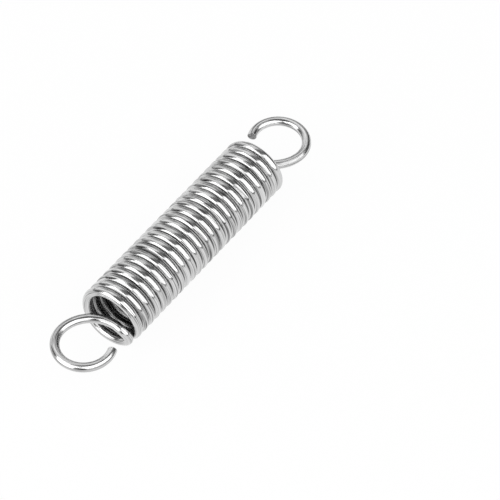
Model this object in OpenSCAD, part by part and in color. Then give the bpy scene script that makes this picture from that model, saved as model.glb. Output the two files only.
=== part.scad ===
// Extension spring with a full loop over the centre at both ends, wound from one round wire.
// Millimetres, +Z up. The coil lies along X with its lowest point at z = 0.
// The wire's centre line is a chain of circular arcs that run smoothly into one another.

/* [Wire] */
// Diameter of the round wire
wire_d = 2; // [1.4:0.1:2.6]

/* [Coil] */
// Outer diameter of the coil
coil_od = 14; // [11:0.5:20]
// Whole turns of the close-wound coil, before the wire leaves for the loops
coil_turns = 25; // [6:1:40]
// Light left between one turn and the next
turn_gap = 0.02; // [0.01:0.01:0.6]
// Angle past the last whole turn at which the wire starts to leave the coil
leave_angle = 46; // [20:1:70]

/* [Loops] */
// Inner diameter of the loop
loop_id = 9.8; // [7:0.1:14]
// From the end of the coil to the middle of the loop
loop_reach = 8.25; // [6:0.05:14]
// Extra radius with which the wire crosses the coil's end face
cross_ease = 1.8; // [0.4:0.1:4]
// Angle round the loop at which the crossing runs into it
join_angle = 81; // [60:1:100]
// Angle before the crossing's nearest point at which the corner bend ends
corner_angle = 6; // [0:1:20]
// Angle of wire from that joint to the cut tip
tip_angle = 211; // [150:1:235]

/* [Hidden] */
$fn = 48;

coil_r = (coil_od - wire_d) / 2;
half_pitch = (wire_d + turn_gap) / 2;
half_length = coil_turns * half_pitch;
// Each half turn is a half circle, leant over by half a pitch
turn_r = sqrt(coil_r * coil_r + half_pitch * half_pitch / 4);
loop_r = (loop_id + wire_d) / 2;
cross_r = loop_r + cross_ease;
// How far one length of wire reaches into the next, and how much thinner it is there
seat = 0.05;
seat_step = 0.006;

function unit(v) = v / norm(v);
function heading(a) = [cos(a), sin(a), 0];

// An arc is [centre, direction to its start, direction of travel there, radius, sweep]
function arc_end(a) = a[0] + a[3] * (cos(a[4]) * a[1] + sin(a[4]) * a[2]);
function arc_exit(a) = cos(a[4]) * a[2] - sin(a[4]) * a[1];

// The one arc that leaves p along t and ends at q
function arc_between(p, t, q) =
    let (chord = q - p,
         side = unit(chord - t * (chord * t)),
         r = (chord * chord) / (2 * (chord * side)))
    [p + side * r, -side, t, r, 2 * atan2(chord * side, chord * t)];

// Two arcs that leave p along t and arrive at q along u, with equal tangent lengths
function corner(p, t, q, u) =
    let (chord = q - p,
         b = chord * (t + u),
         k = 2 * (1 - t * u),
         reach = (sqrt(b * b + k * (chord * chord)) - b) / k,
         from = p + reach * t,
         to = q - reach * u,
         middle = (from + to) / 2)
    [arc_between(p, t, middle), arc_between(middle, unit(to - from), q)];

// One bent length of wire along an arc
module bent(a, d) {
    up = cross(a[1], a[2]);
    multmatrix([[a[1][0], a[2][0], up[0], a[0][0]],
                [a[1][1], a[2][1], up[1], a[0][1]],
                [a[1][2], a[2][2], up[2], a[0][2]]])
        rotate_extrude(angle = a[4])
            translate([a[3], 0])
                circle(d = d);
}

// The same arc, started a little earlier and ended a little later
function longer(a, before, after) =
    let (b = before / a[3] * 180 / PI, e = after / a[3] * 180 / PI)
    [a[0], cos(b) * a[1] - sin(b) * a[2], sin(b) * a[1] + cos(b) * a[2], a[3], a[4] + b + e];

// Lengths are numbered along the wire, and every odd one reaches a hair into those on either side
// of it, so that the whole wire joins into one solid
module wire(a, number, after = seat) {
    if (number % 2 == 0) bent(a, wire_d);
    else bent(longer(a, seat, after), wire_d - seat_step);
}

// Half turn number i, counted from the coil's left end, from bottom to top or back
function half_turn(i) =
    let (side = i % 2 == 0 ? -1 : 1)
    [[(i + 0.5) * half_pitch - half_length, 0, 0],
     unit([-half_pitch / 2, 0, side * coil_r]), [0, -side, 0], turn_r, 180];

module coil() {
    for (i = [0 : 2 * coil_turns - 1]) wire(half_turn(i), i);
}

// The wire past the coil's right end: it leaves the coil, turns a corner,
// crosses the end face and goes round the loop, whose middle is on the coil's axis
last_bit = concat([for (k = [0 : 3]) half_turn(2 * coil_turns)[k]], [leave_angle]);
loop_middle = [half_length + loop_reach, 0, 0];
join = 180 + join_angle;
cross_middle = loop_middle - cross_ease * heading(join);
cross_start = 180 - corner_angle;
crossing = [cross_middle, heading(cross_start), heading(cross_start + 90), cross_r, join - cross_start];
loop = [loop_middle, heading(join), heading(join + 90), loop_r, tip_angle];
bend = corner(arc_end(last_bit), arc_exit(last_bit),
              cross_middle + cross_r * crossing[1], crossing[2]);

module end_loop(first) {
    wire(last_bit, first);
    wire(bend[0], first + 1);
    wire(bend[1], first + 2);
    wire(crossing, first + 3);
    wire(loop, first + 4, 0);
}

module spring_wire() {
    color([0.72, 0.72, 0.73])
        translate([0, 0, coil_od / 2]) {
            coil();
            end_loop(2 * coil_turns);
            rotate([0, 0, 180]) end_loop(1);
        }
}

spring_wire();
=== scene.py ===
"""Extension spring: one length of bright drawn wire, close coiled, with a full loop over the centre
at both ends. Metres, in the CAD model's frame: the coil lies along X and rests at z = 0."""
import math
import bpy
import numpy as np
from mathutils import Matrix


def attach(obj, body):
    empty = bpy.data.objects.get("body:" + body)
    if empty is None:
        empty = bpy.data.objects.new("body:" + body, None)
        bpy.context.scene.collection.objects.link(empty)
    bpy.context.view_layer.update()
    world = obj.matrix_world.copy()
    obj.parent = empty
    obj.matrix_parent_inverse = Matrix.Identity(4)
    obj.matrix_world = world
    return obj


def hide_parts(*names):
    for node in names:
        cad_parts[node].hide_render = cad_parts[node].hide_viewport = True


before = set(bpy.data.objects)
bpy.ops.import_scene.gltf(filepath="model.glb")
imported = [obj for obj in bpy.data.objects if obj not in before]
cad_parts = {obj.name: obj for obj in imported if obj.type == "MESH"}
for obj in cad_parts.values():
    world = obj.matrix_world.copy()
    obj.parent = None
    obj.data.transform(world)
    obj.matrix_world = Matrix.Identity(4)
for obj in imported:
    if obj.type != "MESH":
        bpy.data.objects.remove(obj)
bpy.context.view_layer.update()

# The spring's own sizes, as in the part's source, in millimetres and degrees
WIRE_D = 2.0
COIL_OD = 14.0
TURNS = 25
TURN_GAP = 0.02
LEAVE_ANGLE = 46
LOOP_ID = 9.8
LOOP_REACH = 8.25
CROSS_EASE = 1.8
JOIN_ANGLE = 81
CORNER_ANGLE = 6
TIP_ANGLE = 211

SIDES = 32          # facets round the wire
RING_STEP = 0.62    # millimetres between rings along the coil
BEND_STEP = 0.34    # and along the corner bends and loops
RIM = 0.11          # millimetres by which the rim of a cut end is rounded
RIM_ANGLES = [0, 30, 60, 90]            # rings round that rim, in degrees
CUT_RADII = [0.72, 0.4, 0.12]           # rings across a cut face, as shares of the wire's radius
CUT_HOLLOW = [-0.012, -0.02, -0.024]    # and how many millimetres each one lies back
CUT_RINGS = 5       # rings from the middle of a cut end that count as its face

# Where shade is painted on the wire, in the seams between turns and inside the coil. A pair is where it
# starts and where it is full
SEAM_FACES = (0.89, 0.96)   # how squarely the wire faces the next turn
LEAVE_FADE = 0.17           # turns past the coil over which a seam runs out
FREE_TURN = (0.93, 1.05)    # turns from the wire's last touch, where the end turn's outer side is free
BORE_DEPTH = (0.3, 1.5)     # turns in from either end of the coil
BORE_FACES = (0.0, 0.6)     # how squarely the wire faces the coil's axis

# Patterns drawn out along the wire: repeats along each millimetre, size round it, detail, distortion
PATTERNS = {"lines": (0.07, 4.2, 3.0, 0.0), "fine": (0.25, 9.0, 2.0, 0.0),
            "broad": (0.05, 1.6, 2.0, 0.0), "rubs": (0.8, 4.0, 4.0, 0.6)}
TONE = {"broad": 0.2, "lines": 0.55, "fine": 0.25}      # shares of the patterns in the tone
STEEL = [(0.41, 0.13), (0.46, 0.46), (0.52, 0.64), (0.62, 0.74)]    # the steel's grey by tone
SHADE_AND_CUT_GREY = 0.01                                          # the grey of the painted shade in seams and bore, and of the duller cut faces
SHADE_AND_CUT_SHARE = {"seam_shade": 0.97, "bore_shade": 0.6, "cut": 0.45}        # and how far each place is darkened towards it: painted shade in seam and bore, the cut faces' own dullness
ROUGH = {"plain": 0.065, "lines": 0.06, "rubs": 0.09, "seam_shade": 0.7, "bore_shade": 0.12, "cut": 0.16}
HEIGHT = {"lines": 0.7, "fine": 0.3, "rubs": 0.1}       # shares of the patterns in the surface's height
LINE_DEPTH = 0.00006                                    # metres from the lowest to the highest of it

PAPER = 0.8         # the floor's own grey, as the lamps light it
WHITE_SHARE = 0.95  # share of plain white in the floor as it is seen. The rest is lit, with the shadow
FLOOR_HALF = 1.5    # metres from the middle of the floor to its edge

BOX_DISTANCE = 1.1  # metres from the spring to the middle of each soft box
# Soft boxes round the spring: azimuth, elevation, width and height in degrees, and brightness
SOFT_BOXES = [
    ("front", -98, 38, 82, 62, 1.9),
    ("left", 160, 29, 55, 60, 2.5),
    ("overhead", 80, 62, 80, 34, 0.7),
    ("back", 80, 24, 42, 40, 0.65),
    ("fill", 46, 33, 76, 56, 0.3),
]
# The studio's grey by height, from the horizon to overhead
ROOM = [(0.0, 0.10), (0.5, 0.12), (1.0, 0.22)]

# The camera: focal length and sensor in millimetres, nearest and farthest distance in metres, its place,
# and its own right, up and backward directions as columns
LENS, SENSOR = 192.3, 36
NEAREST, FARTHEST = 0.01, 20
CAMERA_PLACE = (-0.27852, -0.20932, 0.43431)
CAMERA_TURN = [[0.58637, 0.62338, -0.51727], [-0.80986, 0.46464, -0.3581], [0.01711, 0.6289, 0.7773]]


def unit(v):
    return v / np.linalg.norm(v)


def heading(a):
    a = math.radians(a)
    return np.array([math.cos(a), math.sin(a), 0.0])


# The wire's centre line

def arc_end(arc):
    """Where an arc ends and the way it heads there: centre + r (cos s e + sin s t), and
    cos s t - sin s e."""
    c, e, t, r, s = arc
    s = math.radians(s)
    return c + r * (math.cos(s) * e + math.sin(s) * t), math.cos(s) * t - math.sin(s) * e


def arc_between(p, t, q):
    """The one arc that leaves p along t and ends at q: r = |chord| squared over twice its sideways part."""
    chord = q - p
    side = unit(chord - t * (chord @ t))
    r = (chord @ chord) / (2 * (chord @ side))
    return (p + side * r, -side, t, r, math.degrees(2 * math.atan2(chord @ side, chord @ t)))


def corner(p, t, q, u):
    """Two arcs that leave p along t and arrive at q along u, with tangents of equal length."""
    chord = q - p
    b, k = chord @ (t + u), 2 * (1 - t @ u)
    reach = (math.sqrt(b * b + k * (chord @ chord)) - b) / k
    start, stop = p + reach * t, q - reach * u
    middle = (start + stop) / 2
    return [arc_between(p, t, middle), arc_between(middle, unit(stop - start), q)]


def wire_arcs():
    """The whole wire as arcs (centre, direction to start, direction of travel, radius, sweep), from the
    left loop's tip to the right one's. The left end is the right one turned half a turn about Z."""
    coil_r, half_pitch = (COIL_OD - WIRE_D) / 2, (WIRE_D + TURN_GAP) / 2
    half_length, turn_r = TURNS * half_pitch, math.hypot(coil_r, half_pitch / 2)
    loop_r = (LOOP_ID + WIRE_D) / 2

    def half_turn(i, sweep=180):
        side = -1 if i % 2 == 0 else 1
        return (np.array([(i + 0.5) * half_pitch - half_length, 0, 0]),
                unit(np.array([-half_pitch / 2, 0, side * coil_r])), np.array([0.0, -side, 0]),
                turn_r, sweep)

    last_bit = half_turn(2 * TURNS, LEAVE_ANGLE)
    join, cross_start = 180 + JOIN_ANGLE, 180 - CORNER_ANGLE
    loop_middle = np.array([half_length + LOOP_REACH, 0, 0])
    cross_middle = loop_middle - CROSS_EASE * heading(join)
    cross_r = loop_r + CROSS_EASE
    crossing = (cross_middle, heading(cross_start), heading(cross_start + 90), cross_r, join - cross_start)
    loop = (loop_middle, heading(join), heading(join + 90), loop_r, TIP_ANGLE)
    bends = corner(*arc_end(last_bit), cross_middle + cross_r * crossing[1], crossing[2])
    right = [last_bit, *bends, crossing, loop]
    turn = np.diag([-1.0, -1.0, 1.0])
    left = []
    for c, e, t, r, s in reversed(right):
        p, way = arc_end((c, e, t, r, s))
        left.append((turn @ c, turn @ ((p - c) / r), -(turn @ way), r, s))
    return left, [half_turn(i) for i in range(2 * TURNS)], right


def carry(arcs, steps):
    """Rings along the arcs: for each, its middle, two directions across the wire that never twist about
    it, and its distance along the wire. An arc's outward direction is cos a e + sin a t at angle a."""
    mids, across, over, along = [], [], [], []
    first, done = None, 0.0
    for (c, e, t, r, sweep), step in zip(arcs, steps):
        b = np.cross(e, t)
        n = max(3, int(math.radians(sweep) * r / step + 0.5))
        a = np.radians(np.linspace(0, sweep, n + 1))[:, None]
        out = np.cos(a) * e + np.sin(a) * t
        twist = 0.0 if first is None else math.atan2(first @ b, first @ e)
        side = math.cos(twist) * out + math.sin(twist) * b
        top = math.cos(twist) * b - math.sin(twist) * out
        keep = slice(0, None) if first is None else slice(1, None)
        mids.append((c + r * out)[keep])
        across.append(side[keep])
        over.append(top[keep])
        along.append((done + a[:, 0] * r)[keep])
        done += math.radians(sweep) * r
        first = side[-1]
    return [np.concatenate(x) for x in (mids, across, over, along)]


def wire_grid():
    """The wire as a grid: ring k, side j at mid + radius (cos j across + sin j over). Its ends close with
    a rounded rim and a slightly hollow cut face. Gives the grid, the outward direction of each point, the
    ring middles, their distance along the wire, and that distance at the coil's left end."""
    left, coil, right = wire_arcs()
    arcs = left + coil + right
    steps = [BEND_STEP] * len(left) + [RING_STEP] * len(coil) + [BEND_STEP] * len(right)
    mid, side, top, along = carry(arcs, steps)
    coil_start = sum(math.radians(sweep) * r for *_, r, sweep in left)
    way = np.cross(side, top)
    way *= np.sign(way[0] @ (mid[1] - mid[0]))
    q = np.radians(RIM_ANGLES)
    cap_r = np.concatenate([WIRE_D / 2 - RIM * (1 - np.cos(q)), np.array(CUT_RADII) * WIRE_D / 2])
    cap_d = np.concatenate([RIM * np.sin(q) - RIM, CUT_HOLLOW])
    first, last = [0] * len(cap_r), [-1] * len(cap_r)
    left_cap, right_cap = mid[first] - cap_d[::-1, None] * way[0], mid[last] + cap_d[:, None] * way[-1]
    mid = np.concatenate([left_cap, mid[1:-1], right_cap])
    side, top = (np.concatenate([x[first], x[1:-1], x[last]]) for x in (side, top))
    along = np.concatenate([along[first], along[1:-1], along[last]])
    radius = np.concatenate([cap_r[::-1], np.full(len(mid) - 2 * len(cap_r), WIRE_D / 2), cap_r])
    a = np.linspace(0, 2 * np.pi, SIDES, endpoint=False)[None, :, None]
    out = np.cos(a) * side[:, None] + np.sin(a) * top[:, None]
    return mid[:, None] + radius[:, None, None] * out, out, mid, along, coil_start


def ease(low, high, x):
    """From 0 at low to 1 at high: 3 t squared - 2 t cubed."""
    t = np.clip((x - low) / (high - low), 0, 1)
    return t * t * (3 - 2 * t)


def places(out, mid, along, coil_start):
    """Where shade is painted on the wire, 0 to 1 for each point: in the seam, where it faces the next turn
    along X, and in the bore, where it faces the coil's axis. Turns are counted from the coil's left end."""
    turn_length = 2 * math.pi * math.hypot((COIL_OD - WIRE_D) / 2, (WIRE_D + TURN_GAP) / 4)
    turn = ((along - coil_start) / turn_length)[:, None]
    last = LEAVE_ANGLE / 360
    in_coil = (ease(-last - LEAVE_FADE, -last, turn)
               * (1 - ease(TURNS + last, TURNS + last + LEAVE_FADE, turn)))
    free, touches = FREE_TURN
    before = ease(free - last, touches - last, turn)
    after = 1 - ease(TURNS - touches + last, TURNS - free + last, turn)
    x = out[:, :, 0]
    # painted shade in the crease where each turn touches the next, left off where the end turns are free
    seam_shade = in_coil * ease(*SEAM_FACES, np.abs(x)) * np.where(x < 0, before, after)
    radial = mid * [0, 1, 1]
    radial = radial / np.maximum(np.linalg.norm(radial, axis=1, keepdims=True), 1e-6)
    start, full = BORE_DEPTH
    deep = ease(start, full, turn) * (1 - ease(TURNS - full, TURNS - start, turn))
    # painted shade inside the coil, fading in from either end of it
    bore_shade = deep * ease(*BORE_FACES, -np.sum(out * radial[:, None], axis=2))
    return seam_shade, bore_shade


def spring_piece(name):
    """The grid as a closed mesh in metres, with a UV map of millimetres along the wire and share of the way
    round it, and the attributes that the steel reads."""
    grid, out, mid, along, coil_start = wire_grid()
    rings, sides = grid.shape[:2]
    k, j = np.meshgrid(np.arange(rings - 1), np.arange(sides), indexing="ij")
    after = (j + 1) % sides
    quads = np.stack([k * sides + j, (k + 1) * sides + j, (k + 1) * sides + after, k * sides + after], -1)
    quads = quads.reshape(-1, 4)
    points = np.concatenate([grid.reshape(-1, 3), mid[:1], mid[-1:]])
    ring = np.arange(sides)
    end = (rings - 1) * sides
    first = np.stack([np.full(sides, rings * sides), ring, (ring + 1) % sides], -1)
    last = np.stack([np.full(sides, rings * sides + 1), end + (ring + 1) % sides, end + ring], -1)
    f = quads[rings // 2 * sides]
    if np.cross(points[f[1]] - points[f[0]], points[f[3]] - points[f[0]]) @ out[rings // 2, 0] < 0:
        quads, first, last = quads[:, ::-1], first[:, ::-1], last[:, ::-1]
    mesh = bpy.data.meshes.new(name)
    metres = points / 1000 + [0, 0, COIL_OD / 2000]
    mesh.from_pydata(metres.tolist(), [], quads.tolist() + first.tolist() + last.tolist())
    corners = np.empty(len(mesh.loops), dtype=np.int32)
    mesh.loops.foreach_get("vertex_index", corners)
    uv = np.stack([np.concatenate([np.repeat(along, sides), along[:1], along[-1:]]),
                   np.concatenate([np.tile(ring / sides, rings), [0.5, 0.5]])], -1)[corners]
    four = uv[:len(quads) * 4].reshape(-1, 4, 2)
    wraps = np.ptp(four[:, :, 1], axis=1) > 0.5
    four[wraps, :, 1] += np.where(four[wraps, :, 1] < 0.5, 1.0, 0.0)
    mesh.uv_layers.new(name="UVMap").data.foreach_set("uv", uv.astype(np.float32).ravel())
    seam_shade, bore_shade = places(out, mid, along, coil_start)
    cut = np.zeros((rings, sides))
    cut[:CUT_RINGS] = cut[-CUT_RINGS:] = 1
    for title, values, at_end in (("seam_shade", seam_shade, 0.0), ("bore_shade", bore_shade, 0.0), ("cut", cut, 1.0)):
        layer = mesh.attributes.new(title, "FLOAT", "POINT")
        layer.data.foreach_set("value", np.append(values.ravel(), [at_end, at_end]).astype(np.float32))
    mesh.polygons.foreach_set("use_smooth", np.ones(len(mesh.polygons), dtype=bool))
    mesh.update()
    o = bpy.data.objects.new(name, mesh)
    bpy.context.scene.collection.objects.link(o)
    return o


# Shader maths as expressions

class Num:
    """A socket's value. An expression on values adds the Math nodes for it."""

    def __init__(self, tree, socket):
        self.tree, self.socket = tree, socket

    def math(self, operation, *others):
        values = dict(enumerate((self, *others)))
        return node(self.tree, "ShaderNodeMath", {"operation": operation}, values).out(0)

    def __add__(self, o): return self.math("ADD", o)
    __radd__ = __add__
    def __mul__(self, o): return self.math("MULTIPLY", o)
    __rmul__ = __mul__
    def __sub__(self, o): return self.math("SUBTRACT", o)

    def __rsub__(self, o):
        return node(self.tree, "ShaderNodeMath", {"operation": "SUBTRACT"}, {0: o, 1: self}).out(0)


class Made:
    """A node that was made, and its sockets."""

    def __init__(self, tree, made):
        self.tree, self.made = tree, made

    def out(self, name):
        return Num(self.tree, self.made.outputs[name])


def grey(shade):
    return (shade, shade, shade, 1)


def node(tree, kind, settings=None, inputs=None):
    """One node: its settings first, then the values or links of its sockets. The setting stops is a
    colour ramp's greys, as pairs of place and grey."""
    n = tree.nodes.new(kind)
    for key, value in (settings or {}).items():
        if key == "stops":
            ramp = n.color_ramp
            while len(ramp.elements) > 1:
                ramp.elements.remove(ramp.elements[-1])
            for i, (at, shade) in enumerate(value):
                stop = ramp.elements[0] if i == 0 else ramp.elements.new(at)
                stop.position = at
                stop.color = grey(shade)
        else:
            setattr(n, key, value)
    for key, value in (inputs or {}).items():
        if isinstance(value, Num):
            tree.links.new(value.socket, n.inputs[key])
        else:
            n.inputs[key].default_value = value
    return Made(tree, n)


def material(name):
    m = bpy.data.materials.new(name)
    m.use_nodes = True
    m.node_tree.nodes.clear()
    return m, m.node_tree


def drawn_steel():
    """Bright drawn spring wire: fine lines along its length, faint rub marks and slow changes in tone,
    painted shade where turns meet and inside the coil, and duller cut faces."""
    m, t = material("drawn_steel")
    uv = node(t, "ShaderNodeUVMap", {"uv_map": "UVMap"}).out("UV")
    part = node(t, "ShaderNodeSeparateXYZ", None, {0: uv})
    length, turn = part.out("X"), part.out("Y") * (2 * math.pi)
    cosine, sine = turn.math("COSINE"), turn.math("SINE")
    seam_shade, bore_shade, cut = (node(t, "ShaderNodeAttribute", {"attribute_name": x}).out("Fac") for x in
                       ("seam_shade", "bore_shade", "cut"))

    def round_wire(per_mm, around, detail, distortion):
        place = node(t, "ShaderNodeCombineXYZ", None,
                     {0: length * per_mm, 1: cosine * around, 2: sine * around}).out(0)
        return node(t, "ShaderNodeTexNoise", None,
                    {"Vector": place, "Scale": 1.0, "Detail": detail, "Distortion": distortion}).out("Fac")

    lines, fine, broad, rubs = (round_wire(*PATTERNS[x]) for x in ("lines", "fine", "broad", "rubs"))
    tone = broad * TONE["broad"] + lines * TONE["lines"] + fine * TONE["fine"]
    color = node(t, "ShaderNodeValToRGB", {"stops": STEEL}, {0: tone}).out(0)
    # painted shade in the seams and bore, and the cut faces' own dullness, all mixed towards one dark grey
    dark = (seam_shade * SHADE_AND_CUT_SHARE["seam_shade"]).math("MAXIMUM", bore_shade * SHADE_AND_CUT_SHARE["bore_shade"]).math("MAXIMUM", cut * SHADE_AND_CUT_SHARE["cut"])
    color = node(t, "ShaderNodeMix", {"data_type": "RGBA"}, {0: dark, 6: color, 7: grey(SHADE_AND_CUT_GREY)}).out(2)
    rough = (lines * ROUGH["lines"] + rubs * ROUGH["rubs"] + ROUGH["plain"]
             + seam_shade * ROUGH["seam_shade"] + bore_shade * ROUGH["bore_shade"] + cut * ROUGH["cut"])
    height = lines * HEIGHT["lines"] + fine * HEIGHT["fine"] + rubs * HEIGHT["rubs"]
    bump = node(t, "ShaderNodeBump", None,
                {"Strength": 1.0, "Distance": LINE_DEPTH, "Height": height}).out(0)
    shade = node(t, "ShaderNodeBsdfPrincipled", None,
                 {"Base Color": color, "Metallic": 1.0, "Roughness": rough, "Normal": bump}).out(0)
    node(t, "ShaderNodeOutputMaterial", None, {0: shade})
    return m


def white_floor():
    """White to the camera and in the steel, with the spring's shadow on it. To the lamps' light it is
    plain pale paper."""
    m, t = material("pale_floor")
    lit = node(t, "ShaderNodeBsdfDiffuse", None, {"Color": grey(PAPER)}).out(0)
    glow = node(t, "ShaderNodeEmission", None, {"Color": grey(1), "Strength": 1.0}).out(0)
    path = node(t, "ShaderNodeLightPath")
    seen = path.out("Is Camera Ray") + path.out("Is Glossy Ray") + path.out("Is Transmission Ray")
    seen = seen * WHITE_SHARE
    both = node(t, "ShaderNodeMixShader", None, {0: seen, 1: lit, 2: glow}).out(0)
    node(t, "ShaderNodeOutputMaterial", None, {0: both})
    return m


def floor():
    """A square of pale floor under the spring."""
    h = FLOOR_HALF
    mesh = bpy.data.meshes.new("floor")
    mesh.from_pydata([(-h, -h, 0), (h, -h, 0), (h, h, 0), (-h, h, 0)], [], [(0, 1, 2, 3)])
    o = bpy.data.objects.new("floor", mesh)
    bpy.context.scene.collection.objects.link(o)
    o.data.materials.append(white_floor())


def soft_box(name, azimuth, elevation, wide, tall, brightness):
    """A rectangular soft box, as seen from the spring: where it stands, how many degrees wide and tall it
    is, and how bright its face is, where 1 is white. Its power is pi times area times brightness."""
    a, e = math.radians(azimuth), math.radians(elevation)
    way = np.array([math.cos(e) * math.cos(a), math.cos(e) * math.sin(a), math.sin(e)])
    side = np.array([-math.sin(a), math.cos(a), 0.0])
    size = [2 * BOX_DISTANCE * math.tan(math.radians(x / 2)) for x in (wide, tall)]
    data = bpy.data.lights.new(name, "AREA")
    data.shape, data.size, data.size_y = "RECTANGLE", *size
    data.energy = math.pi * size[0] * size[1] * brightness
    o = bpy.data.objects.new(name, data)
    bpy.context.scene.collection.objects.link(o)
    turn = Matrix(np.stack([side, np.cross(way, side), way], 1).tolist())
    o.matrix_world = Matrix.Translation((way * BOX_DISTANCE).tolist()) @ turn.to_4x4()


def room():
    """The studio around the soft boxes: dim at the horizon, and a little paler overhead."""
    w = bpy.data.worlds.new("room")
    bpy.context.scene.world = w
    w.use_nodes = True
    t = w.node_tree
    t.nodes.clear()
    way = node(t, "ShaderNodeTexCoord").out("Generated")
    up = node(t, "ShaderNodeSeparateXYZ", None, {0: way}).out("Z")
    color = node(t, "ShaderNodeValToRGB", {"stops": ROOM}, {0: up}).out(0)
    lit = node(t, "ShaderNodeBackground", None, {"Color": color, "Strength": 1.0}).out(0)
    node(t, "ShaderNodeOutputWorld", None, {0: lit})


def camera():
    """The photograph's view: a long lens, 51 degrees up, looking along the coil from the left loop."""
    data = bpy.data.cameras.new("camera")
    data.lens, data.sensor_width, data.clip_start, data.clip_end = LENS, SENSOR, NEAREST, FARTHEST
    o = bpy.data.objects.new("camera", data)
    bpy.context.scene.collection.objects.link(o)
    o.matrix_world = Matrix.Translation(CAMERA_PLACE) @ Matrix(CAMERA_TURN).to_4x4()
    bpy.context.scene.camera = o


def main():
    camera()
    floor()
    room()
    for box in SOFT_BOXES:
        soft_box(*box)
    wire = spring_piece("spring_wire_drawn")
    wire.data.materials.append(drawn_steel())
    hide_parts("spring_wire")
    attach(wire, "root")
    bpy.context.scene.view_settings.view_transform = "Standard"


main()
